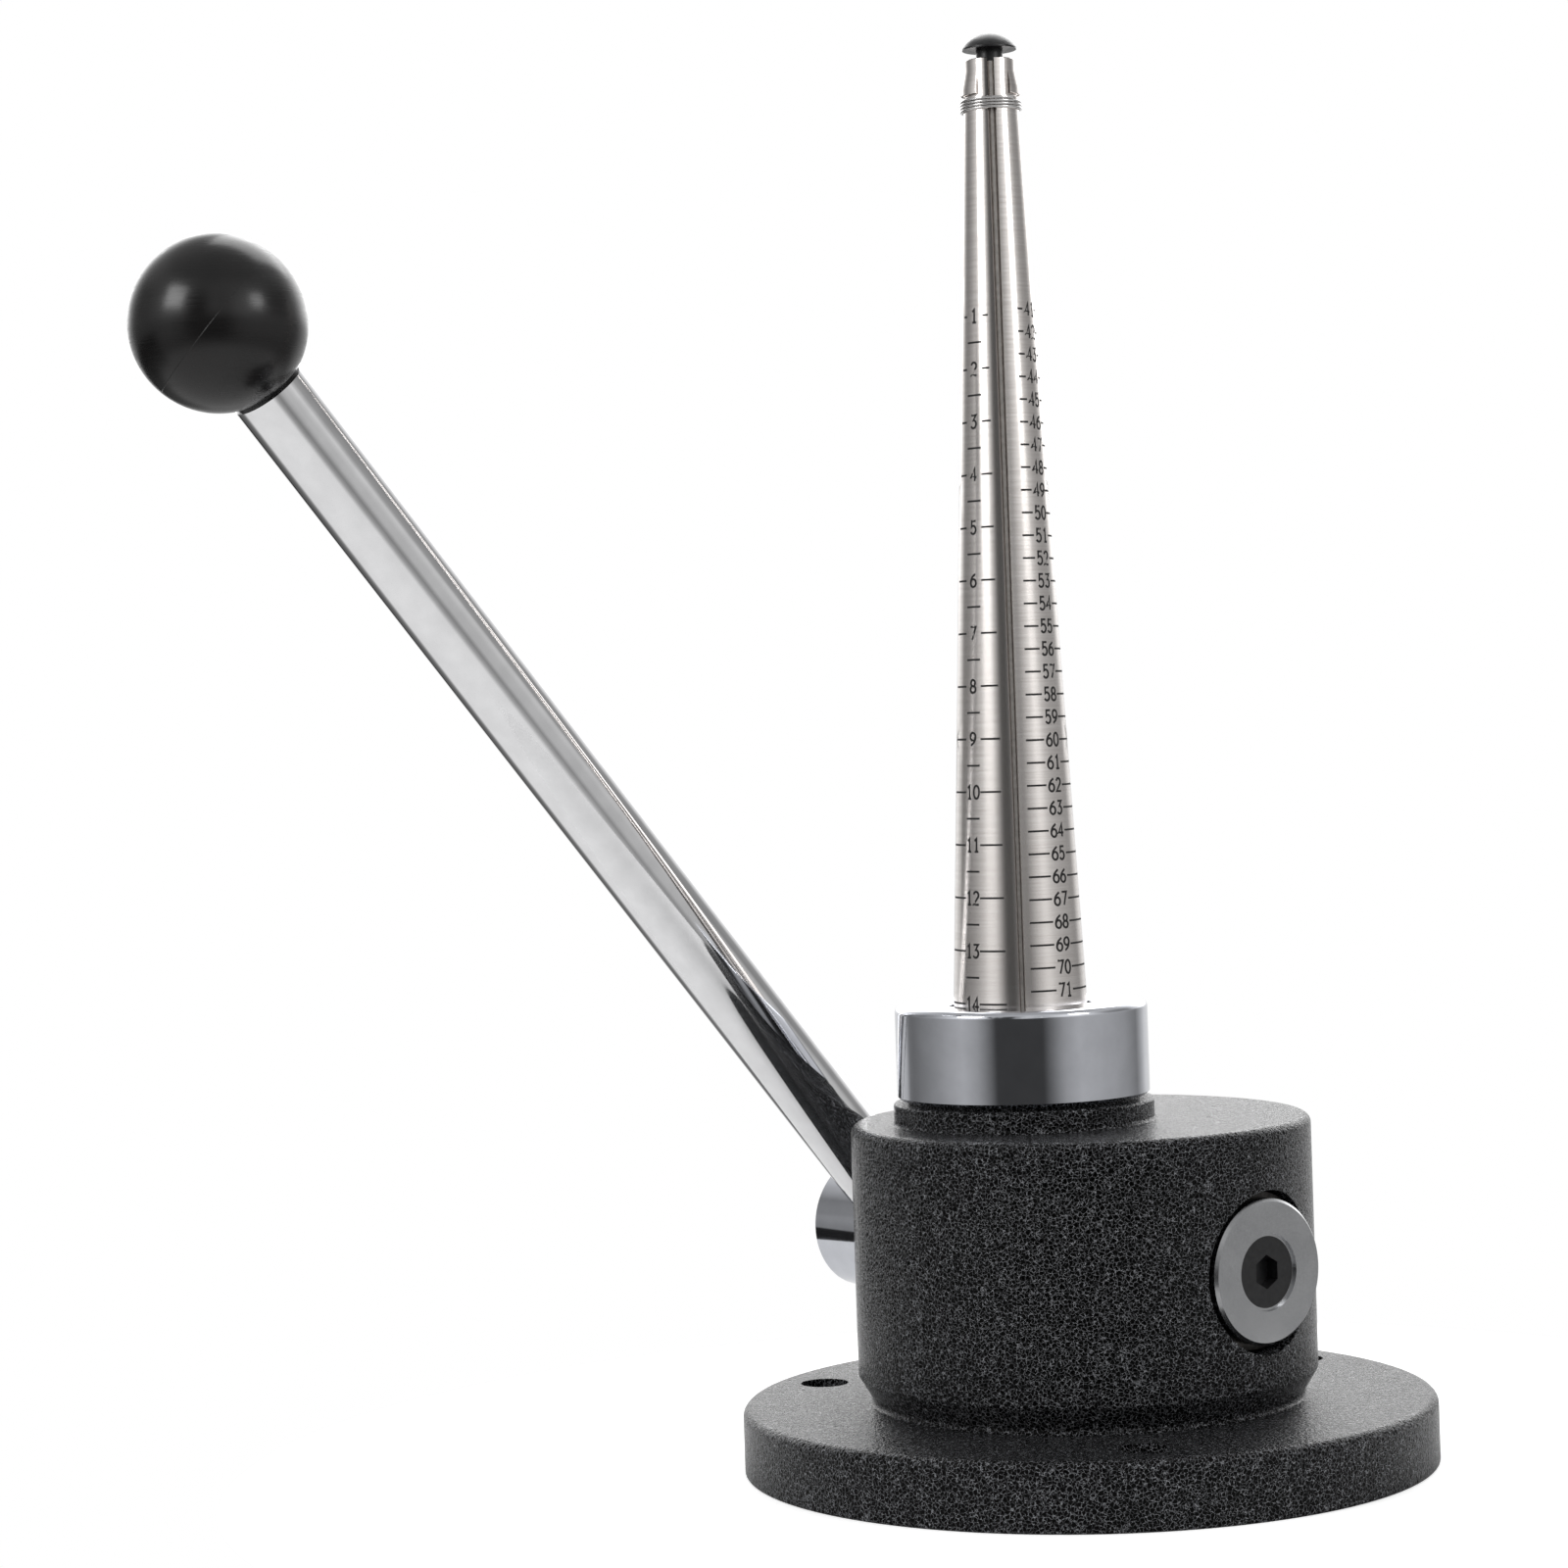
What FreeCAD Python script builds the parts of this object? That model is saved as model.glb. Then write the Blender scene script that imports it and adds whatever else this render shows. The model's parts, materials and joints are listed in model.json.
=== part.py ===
import FreeCAD, Part
import math
import os

# Ring stretcher for a workbench. A lever turns a shaft with pinion teeth, the pinion lifts a rack
# spindle, and the square tapered core on the spindle spreads a round mandrel that is split in four.
# All lengths are millimetres. +Z is up, and the origin is the centre of the flange's underside.
# The shaft runs along Y: its retaining washer faces -Y and the lever is at +Y, leaning to -X at rest.

V = FreeCAD.Vector
UP = V(0, 0, 1)

# One overrun for every cut that leaves its solid
overrun = 5.0
# A step that is shorter than this is no edge
least_edge = 0.001

# Base casting: flange, drum, neck and threaded spigot
flange_radius = 60.0
flange_thickness = 11.5
flange_top_round = 1.7
flange_bottom_round = 0.5
foot_relief_radius = 44.0
foot_relief_depth = 0.8
drum_radius = 39.75
drum_height = 59.8
drum_round = 1.6
undercut_depth = 2.4
undercut_height = 4.0
undercut_rise = 0.9
undercut_fillet = 0.6
undercut_edge_round = 0.4
neck_radius = 22.5
neck_height = 3.7
neck_fillet = 0.6
neck_round = 0.5
spigot_radius = 20.0
spigot_height = 6.7
spigot_wall = 2.1

# Bolt holes in the flange
bolt_count = 3
bolt_circle_radius = 50.0
bolt_hole_radius = 4.25
bolt_turn_deg = -2.5

# Places of the two axes, and how far the mandrel's four segments are turned from +X
spindle_x = -8.84
spindle_y = 4.4
shaft_x = 5.6
shaft_height = 35.8
mandrel_turn_deg = 5.3

# Collar that holds the segments' feet down
collar_radius = 21.8
collar_height = 16.2
collar_gap = 0.6
collar_top_round = 1.2
collar_bottom_chamfer = 0.6
collar_bore_radius = 12.7
collar_bore_chamfer = 0.5

# Mandrel: radii at the collar's top and at the spring seat
mandrel_base_radius = 11.52
mandrel_tip_radius = 4.85
mandrel_length = 153.0
slot_width_low = 0.75
slot_width_high = 1.15
slot_edge_break = 0.14
foot_radius = 17.0
foot_round = 0.3

# Mandrel head: spring seat, and lugs that keep the spring ring on
seat_height = 2.6
lug_radius = 5.1
lug_gap = 0.4
lug_bottom_round = 0.4
lug_straight = 1.0
lug_round = 2.5
lug_flare = 3.1
# Each segment's lug begins this far from the segment's middle and runs to its end at this side
lug_starts = {"right": (1.1, -1), "back": (-0.35, 1), "left": (1.1, -1), "front": (-0.35, 1)}
head_height = 6.6
head_radius = 4.45
head_flare_round = 3.0
head_round = 0.35

# Running clearances
shaft_clearance = 0.03
spindle_clearance = 0.03
core_clearance = 0.05
foot_clearance = 0.05
collar_clearance = 0.1
end_clearance = 0.1

# Expander core: square, tapered, corners towards the slots
core_corner_depth = 0.45
core_corner_flat = 0.5
core_floor_gap = 1.2
core_below_top = 0.6
core_thread_radius = 1.5
core_thread_depth = 9.0
tenon_radius = 5.0
tenon_length = 11.8
tenon_end_gap = 0.2
core_pin_radius = 1.5
core_pin_height = 6.0
core_pin_inset = 0.4

# Rack and pinion
gear_module = 1.25
pinion_teeth = 17
pressure_angle_deg = 20.0
dedendum_factor = 1.25
rack_backlash = 0.16
pinion_width = 16.0
rack_radius = 7.0
rack_travel_deg = 80.0
rack_end_clearance = 0.4
spindle_foot_gap = 0.05
spindle_foot_chamfer = 0.6

# Shaft, its bushes and its end washer
shaft_radius = 12.0
shaft_journal_radius = 10.0
shaft_end_chamfer = 1.6
lever_y = 51.8
shaft_overhang = 16.3
bush_bore_radius = 13.7
bush_length_front = 12.0
bush_length_rear = 14.0
bush_chamfer = 0.4
shaft_bore_clearance = 0.4
rear_bush_end = 34.5
washer_face = 39.2
washer_thickness = 3.6
washer_radius = 12.25
washer_chamfer = 0.5

# Countersunk screw in the washer
end_screw_radius = 3.0
end_screw_head_radius = 6.0
end_screw_recess = 0.5
end_screw_length = 18.0
end_screw_hex = 5.0
end_screw_hex_depth = 2.4
washer_hole_radius = 3.2
washer_sink_radius = 6.5
end_screw_tap_gap = 2.0

# Spindle bush in the neck
spindle_bush_radius = 10.0
spindle_bush_length = 11.7
spindle_bush_gap = 0.1

# Lever
lever_lean_deg = 41.0
rod_radius = 6.7
rod_seat_clearance = 0.15
rod_end_chamfer = 0.6
rod_thread_radius = 5.0
rod_thread_length = 16.0
rod_tap_gap = 1.0
knob_distance = 214.3
knob_radius = 14.55
knob_flat_distance = 12.7
knob_gap = 0.3
knob_thread_radius = 4.0
knob_thread_length = 9.0
insert_radius = 6.0
insert_length = 11.5
insert_tap_gap = 1.2

# Bottom cover and its screws
cover_radius = 26.0
cover_thickness = 2.0
cover_recess = 0.2
cover_edge_gap = 0.15
cover_screw_count = 3
cover_screw_circle = 21.0
cover_screw_turn_deg = 90.0
cover_screw_radius = 2.0
cover_screw_head_radius = 3.6
cover_screw_length = 8.0
cover_screw_hex = 2.5
cover_screw_hex_depth = 1.2

# Button screw on top of the core
button_radius = 4.65
button_height = 2.85
button_lip = 0.3
button_neck_radius = 2.3
button_neck_length = 2.4
button_hex = 3.0
button_hex_depth = 1.7
button_tap_gap = 1.0

# Spring rings round the segments
upper_wire_radius = 0.22
upper_ring_clearance = 0.08
upper_ring_turns = 3.75
upper_ring_pitch = 0.53
upper_ring_gap = 0.06
lower_wire_radius = 0.45
lower_ring_rise = 2.6
lower_groove_radius = 11.2
lower_groove_width = 1.6
lower_ring_clearance = 0.05
lower_ring_turn_share = 0.94

# Heights and places that follow from the sizes above
neck_top = drum_height + neck_height
spigot_top = neck_top + spigot_height
pocket_radius = spigot_radius - spigot_wall
collar_bottom = neck_top + collar_gap
collar_top = collar_bottom + collar_height
foot_bottom = neck_top + foot_clearance
foot_top = spigot_top - collar_clearance
lower_ring_height = foot_top + lower_ring_rise
seat_low = collar_top + mandrel_length
seat_high = seat_low + seat_height
segment_top = seat_high + head_height
taper = (mandrel_base_radius - mandrel_tip_radius) / mandrel_length
core_bottom = neck_top + core_floor_gap
core_top = segment_top - core_below_top
core_slope = taper / math.sqrt(2)
cover_bottom = foot_relief_depth + cover_recess
cover_top = cover_bottom + cover_thickness
spindle_foot = cover_top + spindle_foot_gap
tooth_pitch = math.pi * gear_module
pitch_radius = gear_module * pinion_teeth / 2
tip_radius = pitch_radius + gear_module
root_radius = pitch_radius - dedendum_factor * gear_module
rack_line = shaft_x - spindle_x - pitch_radius
rack_crest = rack_line + gear_module
rack_root = rack_line - dedendum_factor * gear_module
rack_travel = pitch_radius * math.radians(rack_travel_deg)
front_bush_face = -(washer_face - washer_thickness - end_clearance)
front_bush_end = front_bush_face + bush_length_front
rear_bush_start = rear_bush_end - bush_length_rear
shaft_front = -(washer_face - washer_thickness)
shaft_shoulder = front_bush_end + end_clearance
shaft_end = lever_y + shaft_overhang
bush_inner_radius = shaft_radius + shaft_clearance
rod_seat = math.sqrt(shaft_radius ** 2 - (rod_radius + rod_seat_clearance) ** 2)
rod_end = knob_distance - knob_flat_distance - knob_gap


def mandrel_radius(height):
    """Radius of the mandrel's tapered surface at a height."""
    return mandrel_base_radius - taper * (height - collar_top)


def core_half_width(height):
    """Distance of the core's flats from its axis at a height, with the spindle at rest."""
    return (mandrel_radius(height) - core_corner_depth) / math.sqrt(2)


def slot_half_width(height):
    share = (height - collar_top) / mandrel_length
    return (slot_width_low + (slot_width_high - slot_width_low) * share) / 2


def edge_break_distance(height):
    """Distance from the mandrel's axis to the small flats that break the slots' edges, at a height."""
    half_width = slot_half_width(height)
    corner = math.sqrt(mandrel_radius(height) ** 2 - half_width ** 2)
    return (corner - half_width) / math.sqrt(2) - slot_edge_break


def unit(vector):
    return vector * (1 / vector.Length)


def add_line(edges, start, end):
    if (end - start).Length > least_edge:
        edges.append(Part.LineSegment(start, end).toShape())


def rounded_face(corners):
    """A face in the XZ plane from (x, z, rounding radius) corners."""
    edges = []
    count = len(corners)
    starts = []
    ends = []
    for index, (x, z, radius) in enumerate(corners):
        here = V(x, 0, z)
        before = V(corners[index - 1][0], 0, corners[index - 1][1])
        after = V(corners[(index + 1) % count][0], 0, corners[(index + 1) % count][1])
        if radius <= 0:
            starts.append(here)
            ends.append(here)
            continue
        back = unit(before - here)
        ahead = unit(after - here)
        half_angle = back.getAngle(ahead) / 2
        reach = radius / math.tan(half_angle)
        bisector = unit(back + ahead)
        middle = here + bisector * (radius / math.sin(half_angle) - radius)
        starts.append(here + back * reach)
        ends.append(here + ahead * reach)
        edges.append(Part.Arc(starts[index], middle, ends[index]).toShape())
    for index in range(count):
        add_line(edges, ends[index], starts[(index + 1) % count])
    return Part.Face(Part.Wire(Part.__sortEdges__(edges)))


def turned(corners):
    """A solid turned about Z from (radius, height, rounding radius) corners."""
    return rounded_face(corners).revolve(V(0, 0, 0), UP, 360)


def prism(points, start, end):
    """A solid with an XY outline between two heights."""
    corners = [V(x, y, start) for x, y in points]
    face = Part.Face(Part.makePolygon(corners + corners[:1]))
    return face.extrude(V(0, 0, end - start))


def side_block(points, half_width):
    """A solid with an XZ outline, as wide as half_width to each side along Y."""
    corners = [V(x, -half_width, z) for x, z in points]
    face = Part.Face(Part.makePolygon(corners + corners[:1]))
    return face.extrude(V(0, 2 * half_width, 0))


def rod_between(radius, start, end):
    """A round bar on the Z axis between two heights."""
    return Part.makeCylinder(radius, end - start, V(0, 0, start))


def hexagon(across, start, end):
    """A hexagonal bar on the Z axis, corners on X."""
    corner = across / math.sqrt(3)
    points = []
    for index in range(6):
        angle = math.radians(60 * index)
        points.append((corner * math.cos(angle), corner * math.sin(angle)))
    return prism(points, start, end)


def ring_of(shape, count, circle_radius, turn_deg):
    """Copies of a shape round the Z axis."""
    copies = []
    for index in range(count):
        copy = shape.copy()
        copy.translate(V(circle_radius, 0, 0))
        copy.rotate(V(0, 0, 0), UP, turn_deg + 360 * index / count)
        copies.append(copy)
    return copies


def on_spindle(shape):
    """Moves a solid made on the Z axis to the mandrel's axis, turned with the segments."""
    shape.rotate(V(0, 0, 0), UP, mandrel_turn_deg)
    shape.translate(V(spindle_x, spindle_y, 0))
    return shape


def on_shaft(shape):
    """Moves a solid made on the Z axis to the shaft's axis, so that its height becomes Y."""
    shape.rotate(V(0, 0, 0), V(1, 0, 0), -90)
    shape.translate(V(shaft_x, 0, shaft_height))
    return shape


def on_lever(shape):
    """Moves a solid made on the Z axis to the lever's axis, its zero on the shaft's axis."""
    shape.rotate(V(0, 0, 0), V(0, 1, 0), -lever_lean_deg)
    shape.translate(V(shaft_x, lever_y, shaft_height))
    return shape


def base_casting():
    undercut_radius = drum_radius - undercut_depth
    undercut_low = flange_thickness + undercut_rise
    body = turned([
        (0, 0, 0),
        (flange_radius, 0, flange_bottom_round),
        (flange_radius, flange_thickness, flange_top_round),
        (undercut_radius, flange_thickness, undercut_fillet),
        (undercut_radius, undercut_low, 0),
        (drum_radius, undercut_low + undercut_height, undercut_edge_round),
        (drum_radius, drum_height, drum_round),
        (0, drum_height, 0),
    ])
    neck_root = drum_height - neck_height
    neck = turned([
        (0, neck_root, 0),
        (neck_radius + neck_fillet, neck_root, 0),
        (neck_radius + neck_fillet, drum_height, 0),
        (neck_radius, drum_height, neck_fillet),
        (neck_radius, neck_top, neck_round),
        (0, neck_top, 0),
    ])
    neck = neck.fuse(rod_between(spigot_radius, neck_root, spigot_top))
    body = body.fuse(on_spindle(neck)).removeSplitter()

    spindle_bores = rod_between(rack_radius + spindle_clearance, cover_top, neck_top)
    bush_low = neck_top - spindle_bush_gap - spindle_bush_length
    spindle_bores = spindle_bores.fuse(rod_between(spindle_bush_radius, bush_low, neck_top))
    spindle_bores = spindle_bores.fuse(rod_between(pocket_radius, neck_top, spigot_top + overrun))
    body = body.cut(on_spindle(spindle_bores))

    reach = drum_radius + overrun
    shaft_bore = rod_between(shaft_radius + shaft_bore_clearance, front_bush_end, rear_bush_start)
    shaft_bore = shaft_bore.fuse(rod_between(bush_bore_radius, -reach, front_bush_end))
    shaft_bore = shaft_bore.fuse(rod_between(bush_bore_radius, rear_bush_start, reach))
    body = body.cut(on_shaft(shaft_bore))

    under = rod_between(foot_relief_radius, -overrun, foot_relief_depth)
    under = under.fuse(rod_between(cover_radius + cover_edge_gap, 0, cover_top))
    body = body.cut(under)
    for hole in ring_of(rod_between(cover_screw_radius, cover_bottom, cover_bottom + cover_screw_length),
                        cover_screw_count, cover_screw_circle, cover_screw_turn_deg):
        body = body.cut(hole)
    for hole in ring_of(rod_between(bolt_hole_radius, -overrun, flange_thickness + overrun),
                        bolt_count, bolt_circle_radius, bolt_turn_deg):
        body = body.cut(hole)
    return body


def collar():
    body = turned([
        (collar_bore_radius, collar_bottom, 0),
        (collar_radius, collar_bottom, 0),
        (collar_radius, collar_top, collar_top_round),
        (collar_bore_radius, collar_top, 0),
    ])
    lower_edge = turned([
        (collar_radius - collar_bottom_chamfer, collar_bottom - overrun, 0),
        (collar_radius + overrun, collar_bottom - overrun, 0),
        (collar_radius + overrun, collar_bottom + collar_bottom_chamfer + overrun, 0),
        (collar_radius, collar_bottom + collar_bottom_chamfer, 0),
        (collar_radius - collar_bottom_chamfer, collar_bottom, 0),
    ])
    body = body.cut(lower_edge)
    body = body.cut(rod_between(spigot_radius, collar_bottom - overrun, spigot_top))
    bore_edge = Part.makeCone(collar_bore_radius, collar_bore_radius + 2 * collar_bore_chamfer,
                              2 * collar_bore_chamfer, V(0, 0, collar_top - collar_bore_chamfer))
    return on_spindle(body.cut(bore_edge))


def mandrel_blank():
    """The mandrel as it is turned, before it is split."""
    groove_low = lower_ring_height - lower_groove_width / 2
    groove_high = lower_ring_height + lower_groove_width / 2
    lug_bottom = seat_high + lug_gap
    lug_top = lug_bottom + lug_straight
    return turned([
        (0, foot_bottom, 0),
        (foot_radius, foot_bottom, foot_round),
        (foot_radius, foot_top, foot_round),
        (mandrel_radius(foot_top), foot_top, 0),
        (mandrel_radius(groove_low), groove_low, 0),
        (lower_groove_radius, groove_low, 0),
        (lower_groove_radius, groove_high, 0),
        (mandrel_radius(groove_high), groove_high, 0),
        (mandrel_tip_radius, seat_low, 0),
        (mandrel_tip_radius, seat_high, 0),
        (head_radius, seat_high, 0),
        (head_radius, lug_bottom, 0),
        (lug_radius, lug_bottom, lug_bottom_round),
        (lug_radius, lug_top, lug_round),
        (head_radius, lug_top + lug_flare, head_flare_round),
        (head_radius, segment_top, head_round),
        (0, segment_top, 0),
    ])


def mandrel_segment(lug_start, lug_side):
    """The segment that points along +X, on the Z axis."""
    low = foot_bottom - overrun
    high = segment_top + overrun
    far = foot_radius + overrun
    body = mandrel_blank()
    for side_deg in (-135, 135):
        slot_side = side_block([
            (-slot_half_width(low), low),
            (far, low),
            (far, high),
            (-slot_half_width(high), high),
        ], far)
        slot_side.rotate(V(0, 0, 0), UP, side_deg)
        body = body.cut(slot_side)
    core_space = side_block([
        (-far, low),
        (core_half_width(low) + core_clearance, low),
        (core_half_width(high) + core_clearance, high),
        (-far, high),
    ], far)
    body = body.cut(core_space)
    for side_deg in (-90, 90):
        flat = side_block([
            (edge_break_distance(foot_top), foot_top),
            (far, foot_top),
            (far, seat_high),
            (edge_break_distance(seat_high), seat_high),
        ], far)
        flat.rotate(V(0, 0, 0), UP, side_deg)
        body = body.cut(flat)
    around_head = rod_between(far, seat_high, high).cut(rod_between(head_radius, seat_high, high))
    lug_space = prism([(0, lug_start), (far, lug_start), (far, lug_side * far), (0, lug_side * far)],
                      seat_high, high)
    return body.cut(around_head.cut(lug_space))


def mandrel_segments():
    segments = {}
    for index, (side, lug) in enumerate(lug_starts.items()):
        segment = mandrel_segment(*lug)
        segment.rotate(V(0, 0, 0), UP, 360 * index / len(lug_starts))
        segments[side] = on_spindle(segment)
    return segments


def core_outline(height):
    """The core's square section with flattened corners, as a wire."""
    half = core_half_width(height)
    inner = half - core_corner_flat / math.sqrt(2)
    corners = []
    for turn in range(4):
        cos, sin = round(math.cos(turn * math.pi / 2)), round(math.sin(turn * math.pi / 2))
        for x, y in ((half, -inner), (half, inner)):
            corners.append(V(x * cos - y * sin, x * sin + y * cos, height))
    return Part.makePolygon(corners + corners[:1])


def core_pin_length():
    return 2 * (core_half_width(core_bottom + core_pin_height) - core_pin_inset)


def core_pin_bar(length):
    bar = Part.makeCylinder(core_pin_radius, length, V(-length / 2, 0, core_bottom + core_pin_height),
                            V(1, 0, 0))
    return bar


def expander_core():
    body = Part.makeLoft([core_outline(core_bottom), core_outline(core_top)], True, True)
    socket = rod_between(tenon_radius, core_bottom - overrun, core_bottom + tenon_length + tenon_end_gap)
    body = body.cut(socket)
    body = body.cut(rod_between(core_thread_radius, core_top - core_thread_depth, core_top + overrun))
    body = body.cut(core_pin_bar(2 * mandrel_base_radius + overrun))
    return on_spindle(body)


def core_pin():
    return on_spindle(core_pin_bar(core_pin_length()))


def rack_spindle():
    body = turned([
        (0, spindle_foot, 0),
        (rack_radius - spindle_foot_chamfer, spindle_foot, 0),
        (rack_radius, spindle_foot + spindle_foot_chamfer, 0),
        (rack_radius, core_bottom, 0),
        (tenon_radius, core_bottom, 0),
        (tenon_radius, core_bottom + tenon_length, 0),
        (0, core_bottom + tenon_length, 0),
    ])
    body = on_spindle(body.cut(core_pin_bar(2 * rack_radius + overrun)))

    # The round part of the spindle has to stay clear of the pinion's tips over the whole travel.
    round_offset = shaft_x - spindle_x - rack_radius
    clear = math.sqrt(tip_radius ** 2 - round_offset ** 2) + rack_end_clearance
    rack_low = shaft_height - clear - rack_travel
    rack_high = shaft_height + clear
    crest_x = spindle_x + rack_crest
    body = body.cut(Part.makeBox(rack_radius, 2 * rack_radius + overrun, rack_high - rack_low,
                                 V(crest_x, spindle_y - rack_radius - overrun / 2, rack_low)))
    tangent = math.tan(math.radians(pressure_angle_deg))
    line_half = tooth_pitch / 4 + rack_backlash / 2
    root_half = line_half - (rack_line - rack_root) * tangent
    mouth_half = line_half + (rack_crest - rack_line + overrun) * tangent
    steps_down = math.floor((shaft_height - rack_low) / tooth_pitch)
    steps_up = math.floor((rack_high - shaft_height) / tooth_pitch)
    for step in range(-steps_down, steps_up + 1):
        middle = shaft_height + step * tooth_pitch
        gap = side_block([
            (spindle_x + rack_root, middle - root_half),
            (spindle_x + rack_root, middle + root_half),
            (crest_x + overrun, middle + mouth_half),
            (crest_x + overrun, middle - mouth_half),
        ], rack_radius + overrun)
        gap.translate(V(0, spindle_y, 0))
        body = body.cut(gap)
    return body


def pinion_outline():
    """The pinion's involute outline as a wire, with a tooth centred on -X."""
    pressure = math.radians(pressure_angle_deg)
    base_radius = pitch_radius * math.cos(pressure)
    line_half_angle = math.pi / 2 / pinion_teeth
    start_half_angle = line_half_angle + math.tan(pressure) - pressure

    def flank_half_angle(radius):
        roll = math.acos(base_radius / radius)
        return start_half_angle - (math.tan(roll) - roll)

    def at(radius, angle):
        return V(radius * math.cos(angle), radius * math.sin(angle), 0)

    middle_radius = (base_radius + tip_radius) / 2
    tip_half = flank_half_angle(tip_radius)
    middle_half = flank_half_angle(middle_radius)
    step = 2 * math.pi / pinion_teeth
    edges = []
    for tooth in range(pinion_teeth):
        axis = math.pi + tooth * step
        down = axis - start_half_angle
        up = axis + start_half_angle
        add_line(edges, at(root_radius, down), at(base_radius, down))
        edges.append(Part.Arc(at(base_radius, down), at(middle_radius, axis - middle_half),
                              at(tip_radius, axis - tip_half)).toShape())
        edges.append(Part.Arc(at(tip_radius, axis - tip_half), at(tip_radius, axis),
                              at(tip_radius, axis + tip_half)).toShape())
        edges.append(Part.Arc(at(tip_radius, axis + tip_half), at(middle_radius, axis + middle_half),
                              at(base_radius, up)).toShape())
        add_line(edges, at(base_radius, up), at(root_radius, up))
        edges.append(Part.Arc(at(root_radius, up), at(root_radius, axis + step / 2),
                              at(root_radius, down + step)).toShape())
    return Part.Wire(edges)


def pinion_shaft():
    body = turned([
        (0, shaft_front, 0),
        (shaft_journal_radius, shaft_front, 0),
        (shaft_journal_radius, shaft_shoulder, 0),
        (shaft_radius, shaft_shoulder, 0),
        (shaft_radius, shaft_end - shaft_end_chamfer, 0),
        (shaft_radius - shaft_end_chamfer, shaft_end, 0),
        (0, shaft_end, 0),
    ])
    teeth = Part.Face(pinion_outline()).extrude(V(0, 0, pinion_width))
    spaces = rod_between(shaft_radius + overrun, 0, pinion_width).cut(teeth)
    spaces.translate(V(0, 0, spindle_y - pinion_width / 2))
    body = body.cut(spaces)
    body = body.cut(rod_between(end_screw_radius, shaft_front - overrun,
                                -washer_face + end_screw_length + end_screw_tap_gap))
    body = on_shaft(body)
    seat = rod_between(rod_radius + rod_seat_clearance, rod_seat, shaft_radius + overrun)
    tap = rod_between(rod_thread_radius, rod_seat - rod_thread_length - rod_tap_gap, rod_seat + overrun)
    return body.cut(on_lever(seat.fuse(tap)))


def bush(start, end, bore_radius):
    """A plain bearing bush on the shaft's axis."""
    body = rod_between(bush_bore_radius, start, end).cut(rod_between(bore_radius, start - overrun,
                                                                      end + overrun))
    outer_edges = [edge for edge in body.Edges
                   if isinstance(edge.Curve, Part.Circle) and edge.Curve.Radius == bush_bore_radius]
    return on_shaft(body.makeChamfer(bush_chamfer, outer_edges))


def spindle_bush():
    top = neck_top - spindle_bush_gap
    low = top - spindle_bush_length
    body = rod_between(spindle_bush_radius, low, top)
    return on_spindle(body.cut(rod_between(rack_radius + spindle_clearance, low - overrun, top + overrun)))


def end_screw_head_face():
    return -washer_face + end_screw_recess


def end_washer():
    face = -washer_face
    sink_end = end_screw_head_face() + end_screw_head_radius - washer_hole_radius
    body = turned([
        (washer_radius - washer_chamfer, face, 0),
        (washer_radius, face + washer_chamfer, 0),
        (washer_radius, face + washer_thickness, 0),
        (washer_hole_radius, face + washer_thickness, 0),
        (washer_hole_radius, sink_end, 0),
        (end_screw_head_radius, end_screw_head_face(), 0),
        (washer_sink_radius, end_screw_head_face(), 0),
        (washer_sink_radius, face, 0),
    ])
    return on_shaft(body)


def end_screw():
    face = end_screw_head_face()
    cone_end = face + end_screw_head_radius - end_screw_radius
    body = turned([
        (0, face, 0),
        (end_screw_head_radius, face, 0),
        (end_screw_radius, cone_end, 0),
        (end_screw_radius, -washer_face + end_screw_length, 0),
        (0, -washer_face + end_screw_length, 0),
    ])
    socket = hexagon(end_screw_hex, face - overrun, face + end_screw_hex_depth)
    socket.rotate(V(0, 0, 0), UP, 90)
    return on_shaft(body.cut(socket))


def lever_rod():
    spigot_end = rod_end + knob_gap + knob_thread_length
    body = turned([
        (0, rod_seat - rod_thread_length, 0),
        (rod_thread_radius, rod_seat - rod_thread_length, 0),
        (rod_thread_radius, rod_seat, 0),
        (rod_radius, rod_seat, 0),
        (rod_radius, rod_end - rod_end_chamfer, 0),
        (rod_radius - rod_end_chamfer, rod_end, 0),
        (knob_thread_radius, rod_end, 0),
        (knob_thread_radius, spigot_end, 0),
        (0, spigot_end, 0),
    ])
    return on_lever(body)


def ball_knob():
    flat = knob_distance - knob_flat_distance
    body = Part.makeSphere(knob_radius, V(0, 0, knob_distance))
    body = body.cut(rod_between(knob_radius, flat - overrun, flat))
    body = body.cut(rod_between(insert_radius, flat - overrun, flat + insert_length))
    return on_lever(body)


def knob_insert():
    flat = knob_distance - knob_flat_distance
    body = rod_between(insert_radius, flat, flat + insert_length)
    return on_lever(body.cut(rod_between(knob_thread_radius, flat - overrun,
                                         flat + knob_thread_length + insert_tap_gap)))


def cover_screw():
    """One countersunk screw, standing head down on the Z axis."""
    cone_end = cover_bottom + cover_screw_head_radius - cover_screw_radius
    body = turned([
        (0, cover_bottom, 0),
        (cover_screw_head_radius, cover_bottom, 0),
        (cover_screw_radius, cone_end, 0),
        (cover_screw_radius, cover_bottom + cover_screw_length, 0),
        (0, cover_bottom + cover_screw_length, 0),
    ])
    return body.cut(hexagon(cover_screw_hex, cover_bottom - overrun, cover_bottom + cover_screw_hex_depth))


def cover_screws():
    return Part.makeCompound(ring_of(cover_screw(), cover_screw_count, cover_screw_circle,
                                     cover_screw_turn_deg))


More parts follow.
